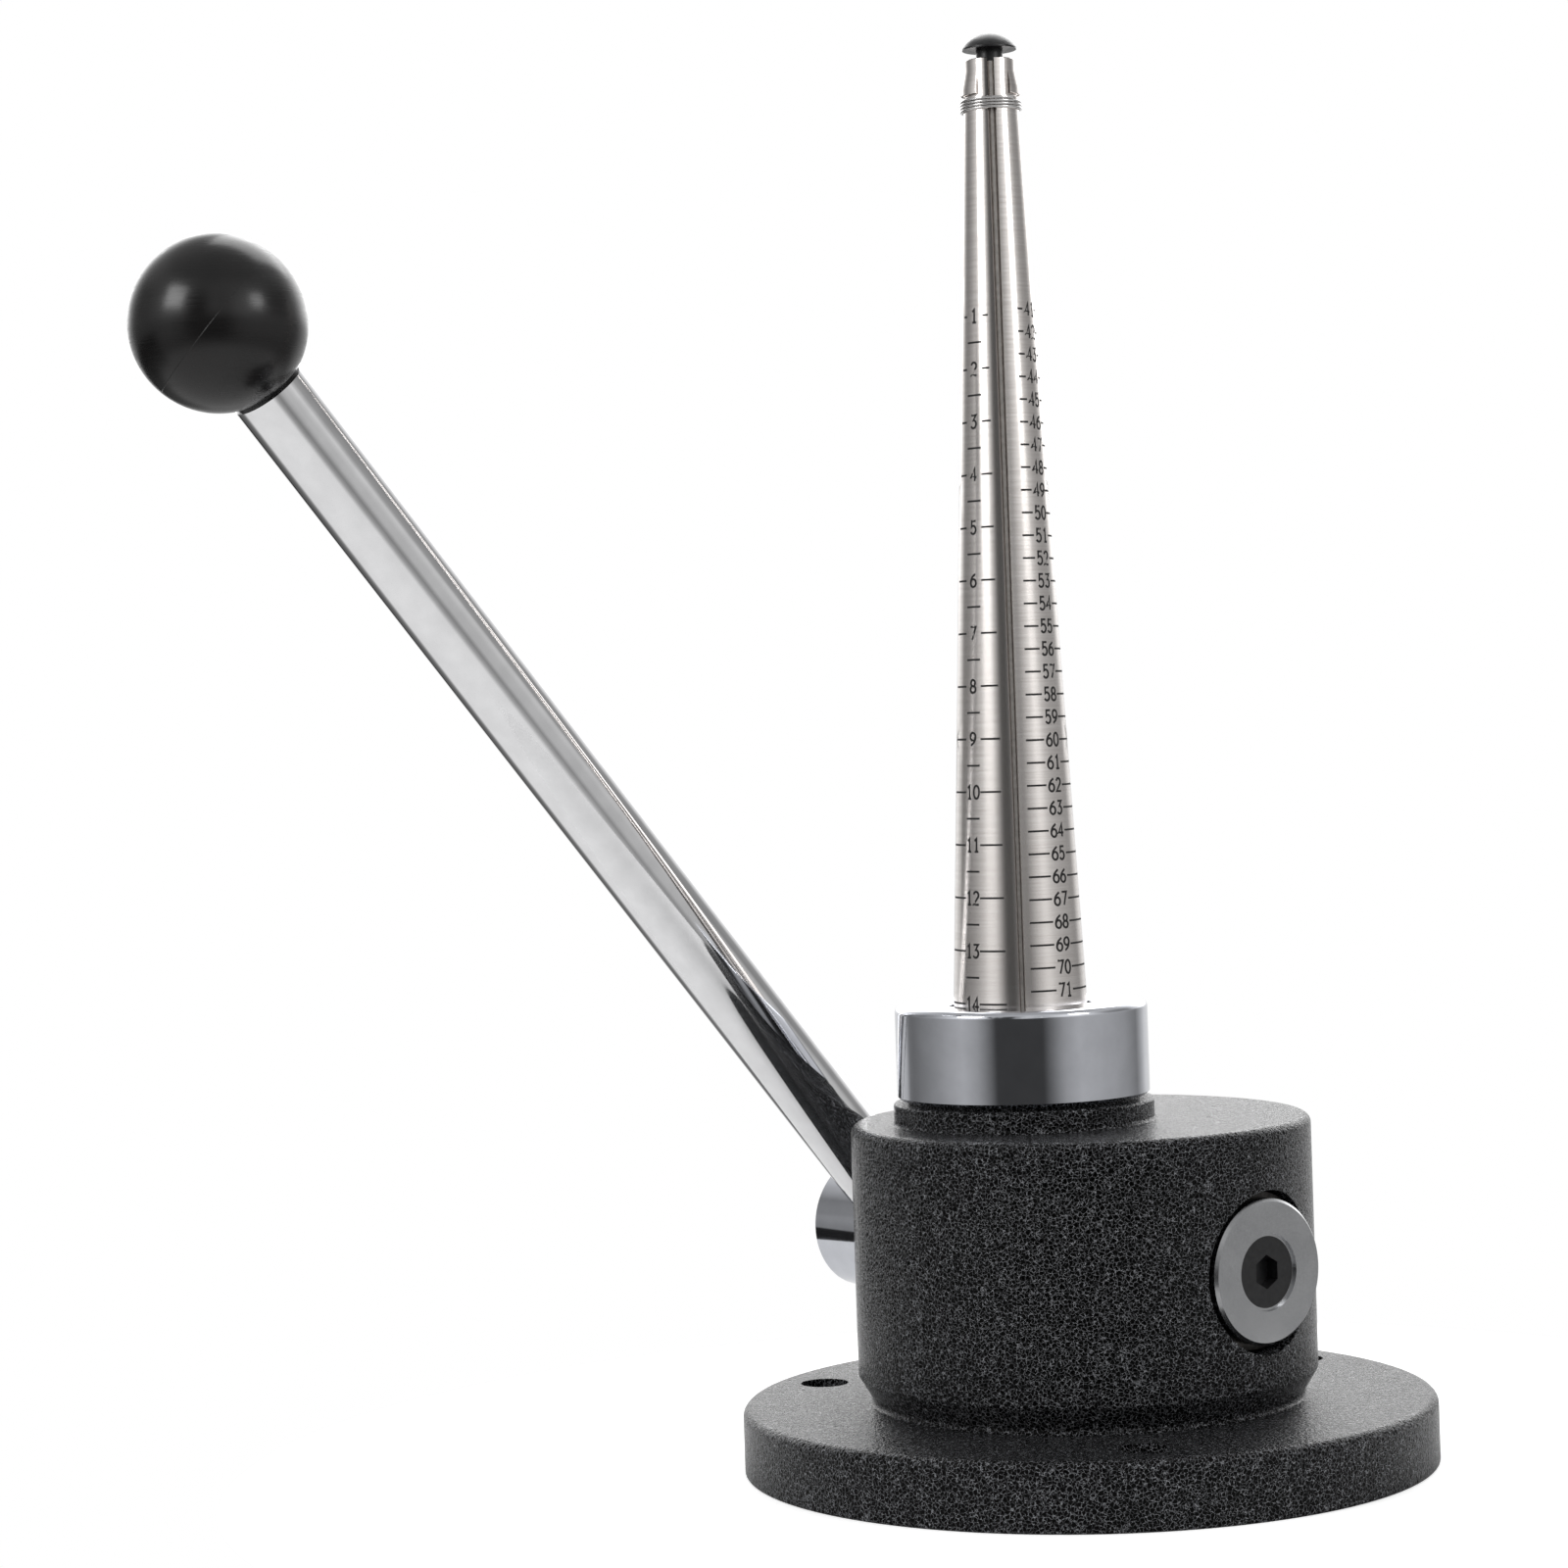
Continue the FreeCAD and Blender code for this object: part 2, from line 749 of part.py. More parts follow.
def bottom_cover():
    body = rod_between(cover_radius, cover_bottom, cover_top)
    sink = rod_between(cover_screw_radius, cover_bottom - overrun, cover_top + overrun)
    depth = cover_screw_head_radius - cover_screw_radius
    sink = sink.fuse(Part.makeCone(cover_screw_head_radius, cover_screw_radius, depth,
                                   V(0, 0, cover_bottom)))
    for hole in ring_of(sink, cover_screw_count, cover_screw_circle, cover_screw_turn_deg):
        body = body.cut(hole)
    return body


def top_button_screw():
    under = core_top + button_neck_length
    dome_height = button_height - button_lip
    dome_radius = (button_radius ** 2 + dome_height ** 2) / (2 * dome_height)
    top = under + button_height
    head = rod_between(button_radius, under, top)
    head = head.common(Part.makeSphere(dome_radius, V(0, 0, top - dome_radius)))
    head = head.cut(hexagon(button_hex, top - button_hex_depth, top + overrun))
    stem = rod_between(button_neck_radius, core_top, under)
    stem = stem.fuse(rod_between(core_thread_radius, core_top - core_thread_depth + button_tap_gap,
                                 core_top))
    return on_spindle(head.fuse(stem).removeSplitter())


def helix_point(radius, pitch, low, turn):
    angle = 2 * math.pi * turn
    return V(radius * math.cos(angle), radius * math.sin(angle), low + pitch * turn)


def helix_direction(radius, pitch, turn):
    angle = 2 * math.pi * turn
    return unit(V(-radius * math.sin(angle), radius * math.cos(angle), pitch / (2 * math.pi)))


def arc_at_corner(start, corner, end):
    """The arc that is tangent to both sides of a corner with equal sides."""
    middle = (start + end) * 0.5
    height = (corner - middle).Length
    half_chord = (end - start).Length / 2
    swing = math.atan2(height, half_chord)
    crown = middle + unit(corner - middle) * (half_chord * math.tan(swing / 2))
    return Part.Arc(start, crown, end).toShape()


def wire_coil(mean_radius, wire_radius, turns, pitch, low):
    """One unbroken coil of wire on the Z axis, on two tangent arcs for each quarter turn."""
    steps = max(1, round(turns * 4))
    edges = []
    for step in range(steps):
        first = turns * step / steps
        last = turns * (step + 1) / steps
        start = helix_point(mean_radius, pitch, low, first)
        end = helix_point(mean_radius, pitch, low, last)
        leave = helix_direction(mean_radius, pitch, first)
        arrive = helix_direction(mean_radius, pitch, last)
        across = end - start
        along = across.dot(leave + arrive)
        spread = 2 * (1 - leave.dot(arrive))
        side = (math.sqrt(along ** 2 + spread * across.dot(across)) - along) / spread
        corner_one = start + leave * side
        corner_two = end - arrive * side
        joint = (corner_one + corner_two) * 0.5
        edges.append(arc_at_corner(start, corner_one, joint))
        edges.append(arc_at_corner(joint, corner_two, end))
    section = Part.Wire(Part.Circle(helix_point(mean_radius, pitch, low, 0),
                                    helix_direction(mean_radius, pitch, 0), wire_radius).toShape())
    return Part.Wire(edges).makePipeShell([section], True, False)


def least_coil_gap(mean_radius, wire_radius, turns, pitch):
    """The least gap between neighbouring turns, measured on points."""
    samples = 48
    first = helix_point(mean_radius, pitch, 0, 0)
    least = mean_radius
    for index in range(samples // 2, round(turns * samples) + 1):
        other = helix_point(mean_radius, pitch, 0, index / samples)
        least = min(least, (other - first).Length - 2 * wire_radius)
    return least


def upper_spring_ring():
    mean_radius = mandrel_tip_radius + upper_ring_clearance + upper_wire_radius
    gap = least_coil_gap(mean_radius, upper_wire_radius, upper_ring_turns, upper_ring_pitch)
    print("least gap between the upper spring ring's turns:", round(gap, 3))
    low = seat_low + upper_ring_gap + upper_wire_radius
    return on_spindle(wire_coil(mean_radius, upper_wire_radius, upper_ring_turns, upper_ring_pitch, low))


def lower_spring_ring():
    """An open ring of one wire in the segments' lower groove."""
    mean_radius = lower_groove_radius + lower_ring_clearance + lower_wire_radius
    section = Part.Wire(Part.Circle(V(mean_radius, 0, lower_ring_height), V(0, 1, 0),
                                    lower_wire_radius).toShape())
    body = Part.Face(section).revolve(V(0, 0, 0), UP, 360 * lower_ring_turn_share)
    return on_spindle(body)


def write(name, shape):
    shape.exportStep("parts/" + name + ".step")
    print(name, len(shape.Solids), round(shape.Volume, 1), shape.isValid())


os.makedirs("parts", exist_ok=True)
write("base_casting", base_casting())
write("bottom_cover", bottom_cover())
write("cover_screws", cover_screws())
write("collar", collar())
write("front_bush", bush(front_bush_face, front_bush_end, shaft_journal_radius + shaft_clearance))
write("rear_bush", bush(rear_bush_start, rear_bush_end, bush_inner_radius))
write("spindle_bush", spindle_bush())
write("upper_spring_ring", upper_spring_ring())
write("lower_spring_ring", lower_spring_ring())
write("pinion_shaft", pinion_shaft())
write("end_washer", end_washer())
write("end_screw", end_screw())
write("lever_rod", lever_rod())
write("ball_knob", ball_knob())
write("knob_insert", knob_insert())
write("rack_spindle", rack_spindle())
write("expander_core", expander_core())
write("core_pin", core_pin())
write("top_button_screw", top_button_screw())
for side, segment in mandrel_segments().items():
    write("mandrel_segment_" + side, segment)
print("rack travel", round(rack_travel, 4), "pitch radius", pitch_radius, "core slope", round(core_slope, 6))
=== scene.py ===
import json
import math

import bmesh
import bpy
from mathutils import Matrix, Vector


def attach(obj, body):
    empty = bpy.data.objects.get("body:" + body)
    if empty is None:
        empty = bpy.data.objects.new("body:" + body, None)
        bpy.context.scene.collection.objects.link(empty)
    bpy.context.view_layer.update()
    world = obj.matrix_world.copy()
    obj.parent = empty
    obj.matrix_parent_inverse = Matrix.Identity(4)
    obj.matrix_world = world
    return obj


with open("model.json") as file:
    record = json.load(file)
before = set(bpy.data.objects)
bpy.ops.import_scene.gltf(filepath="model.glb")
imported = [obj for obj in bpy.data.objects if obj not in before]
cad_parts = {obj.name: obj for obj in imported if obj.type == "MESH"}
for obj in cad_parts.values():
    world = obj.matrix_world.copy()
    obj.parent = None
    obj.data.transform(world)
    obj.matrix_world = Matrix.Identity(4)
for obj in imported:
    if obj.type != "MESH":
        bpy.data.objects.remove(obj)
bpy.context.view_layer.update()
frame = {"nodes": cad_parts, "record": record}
cad = frame["nodes"]

# Lengths in this file are millimetres and become metres where a mesh, light or texture is made.
MM = 0.001

# Places that repeat the construction's own sizes
spindle_place = (-8.84, 4.4)
mandrel_turn_deg = 5.3
collar_top = 80.3
mandrel_base_radius = 11.52
mandrel_tip_radius = 4.85
mandrel_length = 153.0
mandrel_taper = (mandrel_base_radius - mandrel_tip_radius) / mandrel_length
knob_centre = (-134.99, 51.8, 197.53)

# Parting line of the moulded ball: its plane's normal, and half the line's width
parting_normal = (-0.662, 0.381, 0.646)
parting_half_width = 0.07

# Camera, fitted to the photograph
view_turn_deg = 42.5
camera_distance = 661.9
camera_height = 130.598
camera_yaw = -0.07445
camera_pitch = 0.01715
camera_roll = -0.03398
camera_lens = 87.526
camera_sensor = 36.0
camera_clip_near = 50.0
camera_clip_far = 20000.0

# Left scale on the mandrel: its sizes, and its places round the surface, which drift with the drop
# below the first mark
us_first = 1
us_last = 14
us_first_height = 198.3
us_spacing = 9.043
us_number_place = 0.33
us_number_drift = 0.00757
us_left_gap = 1.82
us_left_end = 2.29
us_left_growth = 0.055
us_left_limit_deg = 40
us_right_gap = 1.72
us_right_end = 3.04
us_right_growth = 0.0277
us_half_dash = 1.52

# Right scale, in the same way
eu_first = 41
eu_last = 71
eu_first_height = 199.26
eu_spacing = 3.882
eu_number_place = 1.44
eu_number_drift = 0.0192
eu_left_gap = 2.0
eu_left_end = 1.59
eu_left_growth = 0.0507
eu_right_gap = 1.93
eu_right_least_end = 2.0
eu_right_limit_deg = 37

# Marks and digits of both scales
mark_width = 0.33
mark_lift = 0.012
mark_steps = 6
digit_width = 1.2
digit_height = 2.22
digit_pitch = 1.68
digit_stroke = 0.37
sharpest_mitre = 0.5


def steel_at(height):
    """Radius of the mandrel's tapered surface at a height."""
    return mandrel_base_radius - mandrel_taper * (height - collar_top)


def mesh_piece(name, points, faces, material, body, smooth=True):
    """A piece from points in millimetres, riding on a body."""
    mesh = bpy.data.meshes.new(name)
    mesh.from_pydata([Vector(point) * MM for point in points], [], faces)
    mesh.update()
    for polygon in mesh.polygons:
        polygon.use_smooth = smooth
    piece = bpy.data.objects.new(name, mesh)
    bpy.context.scene.collection.objects.link(piece)
    mesh.materials.append(material)
    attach(piece, body)
    return piece


# Node helpers
def new_material(name):
    material = bpy.data.materials.new(name)
    material.use_nodes = True
    return material, material.node_tree, material.node_tree.nodes["Principled BSDF"]


def add(tree, kind, **settings):
    node = tree.nodes.new(kind)
    for key, value in settings.items():
        if key.startswith("in_"):
            node.inputs[key[3:].replace("_", " ")].default_value = value
        else:
            setattr(node, key, value)
    return node


def ramp(tree, source, stops, interpolation="LINEAR"):
    node = tree.nodes.new("ShaderNodeValToRGB")
    node.color_ramp.interpolation = interpolation
    elements = node.color_ramp.elements
    while len(elements) < len(stops):
        elements.new(0.5)
    for element, (place, colour) in zip(elements, stops):
        element.position = place
        value = (colour, colour, colour) if isinstance(colour, (int, float)) else colour
        element.color = (*value, 1)
    tree.links.new(source, node.inputs["Fac"])
    return node.outputs["Color"]


def math_node(tree, operation, first, second=None):
    node = tree.nodes.new("ShaderNodeMath")
    node.operation = operation
    for index, value in enumerate((first, second)):
        if value is None:
            continue
        if isinstance(value, (int, float)):
            node.inputs[index].default_value = value
        else:
            tree.links.new(value, node.inputs[index])
    return node.outputs["Value"]


def place_on_part(tree, origin=(0, 0, 0), stretch=(1, 1, 1)):
    """Coordinates fixed to the part, in millimetres from an origin, stretched along each axis."""
    place = add(tree, "ShaderNodeTexCoord")
    mapping = add(tree, "ShaderNodeMapping")
    scale = [value / MM for value in stretch]
    mapping.inputs["Scale"].default_value = scale
    mapping.inputs["Location"].default_value = [-value * part for value, part in zip(origin, stretch)]
    tree.links.new(place.outputs["Object"], mapping.inputs["Vector"])
    return mapping.outputs["Vector"]


def noise(tree, vector, scale, detail=2.0, roughness=0.5):
    node = add(tree, "ShaderNodeTexNoise", in_Scale=scale, in_Detail=detail, in_Roughness=roughness)
    tree.links.new(vector, node.inputs["Vector"])
    return node.outputs["Fac"]


def bump(tree, shader, height, distance, strength=1.0, normal=None):
    node = add(tree, "ShaderNodeBump", in_Strength=strength, in_Distance=distance * MM)
    if normal is not None:
        tree.links.new(normal, node.inputs["Normal"])
    tree.links.new(height, node.inputs["Height"])
    tree.links.new(node.outputs["Normal"], shader.inputs["Normal"])


# Materials
def hammertone():
    """Black enamel with a thin pale web between small glossy pits; the web's pale colour is partly the
    paint's own pattern and partly a painted sheen standing in for light caught on its raised ridges.
    """
    pits_per_mm = 1.45
    bend_per_mm = 1.7
    bend = (0.9, 0.9, 0.9)
    patches_per_mm = 1.4
    swells_per_mm = 0.9
    swell_weight = 2.5
    relief_depth = 0.09
    material, tree, shader = new_material("hammertone_enamel")
    place = place_on_part(tree)
    waves = add(tree, "ShaderNodeTexNoise", in_Scale=bend_per_mm, in_Detail=2.0)
    tree.links.new(place, waves.inputs["Vector"])
    shifted = add(tree, "ShaderNodeVectorMath", operation="MULTIPLY_ADD")
    tree.links.new(waves.outputs["Color"], shifted.inputs[0])
    shifted.inputs[1].default_value = bend
    tree.links.new(place, shifted.inputs[2])
    cells = add(tree, "ShaderNodeTexVoronoi", feature="DISTANCE_TO_EDGE", in_Scale=pits_per_mm)
    tree.links.new(shifted.outputs["Vector"], cells.inputs["Vector"])
    edge = cells.outputs["Distance"]
    # Pale web colour: the enamel's own web pattern together with a painted highlight on the raised ridges,
    # in place of their real reflections.
    web_and_ridge_sheen = ramp(tree, edge, [(0.0, (0.24, 0.246, 0.26)), (0.025, (0.155, 0.159, 0.169)),
                            (0.058, (0.005, 0.005, 0.006)), (0.09, (0.0002, 0.0002, 0.0002))])
    patches = ramp(tree, noise(tree, place, patches_per_mm, 3.0, 0.6), [(0.35, 0.15), (0.62, 1.4)])
    mixed = add(tree, "ShaderNodeMix", data_type="RGBA", blend_type="MULTIPLY")
    mixed.inputs["Factor"].default_value = 1.0
    tree.links.new(web_and_ridge_sheen, mixed.inputs[6])
    tree.links.new(patches, mixed.inputs[7])
    tree.links.new(mixed.outputs[2], shader.inputs["Base Color"])
    shader.inputs["Metallic"].default_value = 0.0
    tree.links.new(ramp(tree, edge, [(0.0, 0.16), (0.15, 0.07)]), shader.inputs["Roughness"])
    shader.inputs["Specular IOR Level"].default_value = 0.09
    relief = ramp(tree, edge, [(0.0, 1.0), (0.3, 0.0)])
    swell = math_node(tree, "MULTIPLY", noise(tree, place, swells_per_mm, 2.0), swell_weight)
    bump(tree, shader, math_node(tree, "ADD", relief, swell), relief_depth)
    return material


def polished(name, colour, roughness, worn=0.03, relief=0.0006):
    """Polished metal with faint cloudy wear and fine marks."""
    material, tree, shader = new_material(name)
    place = place_on_part(tree)
    shader.inputs["Metallic"].default_value = 1.0
    dark = tuple(part * 0.93 for part in colour)
    cloud = noise(tree, place, 0.25, 4.0)
    tree.links.new(ramp(tree, cloud, [(0.35, dark), (0.65, colour)]), shader.inputs["Base Color"])
    speck = noise(tree, place, 2.2, 5.0, 0.7)
    tree.links.new(ramp(tree, speck, [(0.35, roughness), (0.75, roughness + worn)]),
                   shader.inputs["Roughness"])
    bump(tree, shader, noise(tree, place, 3.0, 3.0), relief)
    return material


def vector_node(tree, operation, first, second=None):
    node = add(tree, "ShaderNodeVectorMath", operation=operation)
    for index, value in enumerate((first, second)):
        if value is None:
            continue
        if isinstance(value, tuple):
            node.inputs[index].default_value = value
        else:
            tree.links.new(value, node.inputs[index])
    return node.outputs["Value" if operation == "DOT_PRODUCT" else "Vector"]


def cone_normal(tree, origin, slope):
    """The mesh's normal, and on the flanks of a cone about an upright axis the cone's exact one."""
    least_agreement = 0.85
    place = place_on_part(tree, (*origin, 0))
    outward = vector_node(tree, "NORMALIZE", vector_node(tree, "MULTIPLY", place, (1, 1, 0)))
    exact = vector_node(tree, "NORMALIZE", vector_node(tree, "ADD", outward, (0, 0, slope)))
    surface = add(tree, "ShaderNodeNewGeometry")
    agreement = vector_node(tree, "DOT_PRODUCT", exact, surface.outputs["True Normal"])
    on_cone = math_node(tree, "GREATER_THAN", agreement, least_agreement)
    mixed = add(tree, "ShaderNodeMix", data_type="VECTOR")
    tree.links.new(on_cone, mixed.inputs[0])
    tree.links.new(surface.outputs["Normal"], mixed.inputs[4])
    tree.links.new(exact, mixed.inputs[5])
    return mixed.outputs[1]


def mandrel_steel():
    """Satin steel with fine turning marks, and a smoother head above the scales."""
    turning_marks = (0.07, 0.07, 2.6)
    head_smoothness = 0.4
    mark_depth = 0.003
    material, tree, shader = new_material("satin_mandrel_steel")
    shader.inputs["Metallic"].default_value = 1.0
    rings = place_on_part(tree, (*spindle_place, 0), turning_marks)
    fine = noise(tree, rings, 1.0, 6.0, 0.75)
    tree.links.new(ramp(tree, fine, [(0.3, (0.66, 0.62, 0.595)), (0.7, (0.80, 0.765, 0.74))]),
                   shader.inputs["Base Color"])
    satin = ramp(tree, fine, [(0.3, 0.255), (0.7, 0.195)])
    upright = add(tree, "ShaderNodeSeparateXYZ")
    tree.links.new(place_on_part(tree, (0, 0, collar_top + mandrel_length)), upright.inputs["Vector"])
    below_head = math_node(tree, "LESS_THAN", upright.outputs["Z"], 0.0)
    extra = math_node(tree, "MULTIPLY", below_head, 1 - head_smoothness)
    satin_share = math_node(tree, "ADD", extra, head_smoothness)
    tree.links.new(math_node(tree, "MULTIPLY", satin, satin_share), shader.inputs["Roughness"])
    shader.inputs["Anisotropic"].default_value = 0.75
    tree.links.new(add(tree, "ShaderNodeCombineXYZ", in_Z=1.0).outputs["Vector"], shader.inputs["Tangent"])
    bump(tree, shader, fine, mark_depth, 1.0, cone_normal(tree, spindle_place, mandrel_taper))
    return material


def ground_steel():
    """Ground disc with a fine grain across it and a faint cloud."""
    grain_weight = 0.4
    grain_depth = 0.002
    material, tree, shader = new_material("ground_washer_steel")
    shader.inputs["Metallic"].default_value = 1.0
    grain = noise(tree, place_on_part(tree, (0, 0, 0), (2.0, 0.2, 2.0)), 1.0, 4.0, 0.6)
    cloud = noise(tree, place_on_part(tree), 0.12, 3.0)
    both = math_node(tree, "ADD", math_node(tree, "MULTIPLY", grain, grain_weight),
                     math_node(tree, "MULTIPLY", cloud, 1 - grain_weight))
    tree.links.new(ramp(tree, both, [(0.35, (0.36, 0.365, 0.375)), (0.65, (0.47, 0.475, 0.485))]),
                   shader.inputs["Base Color"])
    tree.links.new(ramp(tree, both, [(0.35, 0.26), (0.65, 0.2)]), shader.inputs["Roughness"])
    bump(tree, shader, grain, grain_depth)
    return material


def dull_metal(name, low, high, roughness, metallic=1.0, relief=0.004, scale=1.2):
    """Unpolished metal with an even grain between two colours."""
    material, tree, shader = new_material(name)
    shader.inputs["Metallic"].default_value = metallic
    grain = noise(tree, place_on_part(tree), scale, 4.0, 0.6)
    tree.links.new(ramp(tree, grain, [(0.3, low), (0.7, high)]), shader.inputs["Base Color"])
    tree.links.new(ramp(tree, grain, [(0.3, roughness + 0.06), (0.7, roughness)]),
                   shader.inputs["Roughness"])
    bump(tree, shader, grain, relief)
    return material


def knob_phenolic():
    """Black moulded plastic with soft haze, fine scratches and a parting line round the ball."""
    scratch_weight = 0.1
    ridge_height = 0.03
    material, tree, shader = new_material("black_phenolic")
    place = place_on_part(tree)
    haze = noise(tree, place, 0.08, 4.0, 0.6)
    tree.links.new(ramp(tree, haze, [(0.35, (0.005, 0.005, 0.005)), (0.7, (0.010, 0.009, 0.009))]),
                   shader.inputs["Base Color"])
    scratch = noise(tree, place_on_part(tree, (0, 0, 0), (0.15, 0.15, 4.0)), 1.0, 5.0, 0.7)
    tree.links.new(ramp(tree, scratch, [(0.35, 0.2), (0.7, 0.3)]), shader.inputs["Roughness"])
    shader.inputs["Specular IOR Level"].default_value = 0.4
    across = add(tree, "ShaderNodeVectorMath", operation="DOT_PRODUCT")
    tree.links.new(place_on_part(tree, knob_centre), across.inputs[0])
    across.inputs[1].default_value = parting_normal
    distance = math_node(tree, "ABSOLUTE", across.outputs["Value"])
    ridge = ramp(tree, distance, [(0.0, 1.0), (parting_half_width, 0.0)])
    fine = math_node(tree, "MULTIPLY", scratch, scratch_weight)
    bump(tree, shader, math_node(tree, "ADD", fine, ridge), ridge_height)
    return material


enamel = hammertone()
collar_steel = polished("polished_collar_steel", (0.64, 0.655, 0.70), 0.07)
chrome = polished("bright_chrome", (0.84, 0.84, 0.85), 0.05)
steel = mandrel_steel()
washer_steel = ground_steel()
core_steel = dull_metal("core_steel", (0.42, 0.40, 0.38), (0.60, 0.57, 0.54), 0.36)
spring_steel = dull_metal("drawn_wire", (0.55, 0.54, 0.54), (0.75, 0.74, 0.73), 0.16)
black_oxide = dull_metal("black_oxide", (0.007, 0.007, 0.008), (0.018, 0.018, 0.019), 0.32, metallic=0.2)
# Near-black bush colour is painted shade: it stands in for the dark of the recess round the washer, not for
# oil on the steel.
bush_steel = dull_metal("shade_black_bush_steel", (0.03, 0.028, 0.027), (0.07, 0.066, 0.063), 0.3)
zinc = dull_metal("zinc_plate", (0.5, 0.51, 0.52), (0.62, 0.63, 0.64), 0.35, relief=0.006, scale=0.4)
ink = dull_metal("blackened_marks", (0.003, 0.003, 0.003), (0.008, 0.007, 0.007), 0.6, metallic=0.0)

slots = {
    "hammertone_paint": enamel, "polished_steel": collar_steel, "ground_steel": washer_steel,
    "mandrel_steel": steel, "core_steel": core_steel, "spring_steel": spring_steel,
    "bright_chrome": chrome, "black_oxide": black_oxide, "knob_plastic": knob_phenolic(),
    "bush_steel": bush_steel, "zinc_plate": zinc,
}
for subpart in frame["record"]["subparts"]:
    node = cad[subpart["node"]]
    for material_slot in node.material_slots:
        material_slot.material = slots[subpart["material_slot"]]


# Engraved scales: digits as centre lines in a box from (0, 0) to (1, 1)
def arc(centre, radii, start_deg, end_deg, steps=10):
    points = []
    for step in range(steps + 1):
        angle = math.radians(start_deg + (end_deg - start_deg) * step / steps)
        points.append((centre[0] + radii[0] * math.cos(angle), centre[1] + radii[1] * math.sin(angle)))
    return points


six = [arc((0.5, 0.3), (0.5, 0.3), 0, 360, 16),
       [(0.86, 0.99), *arc((0.95, 0.3), (0.95, 0.62), 115, 180, 8)]]
digits = {
    "0": [arc((0.5, 0.5), (0.5, 0.5), 0, 360, 20)],
    "1": [[(0.2, 0.82), (0.55, 1.0), (0.55, 0.0)], [(0.22, 0.0), (0.88, 0.0)]],
    "2": [[*arc((0.5, 0.72), (0.45, 0.28), 165, -25), (0.02, 0.0), (1.0, 0.0)]],
    "3": [[(0.08, 1.0), (0.92, 1.0), (0.45, 0.6), *arc((0.45, 0.31), (0.5, 0.31), 80, -150)]],
    "4": [[(0.74, 0.0), (0.74, 1.0), (0.0, 0.3), (1.05, 0.3)]],
    "5": [[(0.92, 1.0), (0.2, 1.0), (0.14, 0.56), *arc((0.44, 0.32), (0.5, 0.32), 110, -150)]],
    "6": six,
    "7": [[(0.02, 1.0), (1.0, 1.0), (0.36, 0.0)]],
    "8": [arc((0.5, 0.75), (0.4, 0.25), 0, 360, 16), arc((0.5, 0.26), (0.5, 0.26), 0, 360, 16)],
    "9": [[(1 - x, 1 - y) for x, y in line] for line in six],
}


class Scale:
    """Flat marks that lie on one segment's tapered surface."""

    def __init__(self, turn_deg):
        self.centre = math.radians(turn_deg)
        self.points = []
        self.faces = []

    def at(self, along, height):
        radius = steel_at(height)
        angle = self.centre + along / radius
        return (spindle_place[0] + (radius + mark_lift) * math.cos(angle),
                spindle_place[1] + (radius + mark_lift) * math.sin(angle), height)

    def ribbon(self, line, width):
        """A line of (along, height) points as a flat band with mitred corners."""
        start = len(self.points)
        closed = line[0] == line[-1]
        for index, (x, y) in enumerate(line):
            before = line[max(index - 1, 0)]
            after = line[min(index + 1, len(line) - 1)]
            if closed and index in (0, len(line) - 1):
                before, after = line[-2], line[1]
            first = Vector((x - before[0], y - before[1]))
            second = Vector((after[0] - x, after[1] - y))
            first = first.normalized() if first.length > 0 else second.normalized()
            second = second.normalized() if second.length > 0 else first
            way = (first + second).normalized()
            stretch = 1 / max(way.dot(first), sharpest_mitre)
            side = Vector((-way.y, way.x)) * (width / 2 * stretch)
            self.points.append(self.at(x + side.x, y + side.y))
            self.points.append(self.at(x - side.x, y - side.y))
        for index in range(len(line) - 1):
            low = start + 2 * index
            self.faces.append((low, low + 1, low + 3, low + 2))

    def dash(self, start, end, height):
        step = (end - start) / mark_steps
        self.ribbon([(start + step * index, height) for index in range(mark_steps + 1)], mark_width)

    def number(self, text, centre, height):
        left = centre - digit_pitch * (len(text) - 1) / 2
        for index, sign in enumerate(text):
            for line in digits[sign]:
                moved = [(left + digit_pitch * index + (x - 0.5) * digit_width,
                          height + (y - 0.5) * digit_height) for x, y in line]
                self.ribbon(moved, digit_stroke)

    def finish(self, name, body):
        piece = mesh_piece(name, self.points, self.faces, ink, body)


us_scale = Scale(mandrel_turn_deg + 180)
for size in range(us_first, us_last + 1):
    height = us_first_height - us_spacing * (size - us_first)
    drop = us_first_height - height
    centre = us_number_place - us_number_drift * drop
    limit = math.radians(us_left_limit_deg) * steel_at(height)
    us_scale.dash(-min(us_left_end + us_left_growth * drop, limit), centre - us_left_gap, height)
    us_scale.dash(centre + us_right_gap, us_right_end + us_right_growth * drop, height)
    us_scale.number(str(size), centre, height)
    if size < us_last:
        us_scale.dash(centre - us_half_dash, centre + us_half_dash, height - us_spacing / 2)
us_scale.finish("us_scale", "segment_left")

eu_scale = Scale(mandrel_turn_deg + 270)
for size in range(eu_first, eu_last + 1):
    height = eu_first_height - eu_spacing * (size - eu_first)
    drop = eu_first_height - height
    centre = eu_number_place - eu_number_drift * drop
    eu_scale.dash(-eu_left_end - eu_left_growth * drop, centre - eu_left_gap, height)
    limit = math.radians(eu_right_limit_deg) * steel_at(height)
    eu_scale.dash(centre + eu_right_gap, max(limit, centre + eu_right_least_end), height)
    eu_scale.number(str(size), centre, height)
eu_scale.finish("eu_scale", "segment_front")


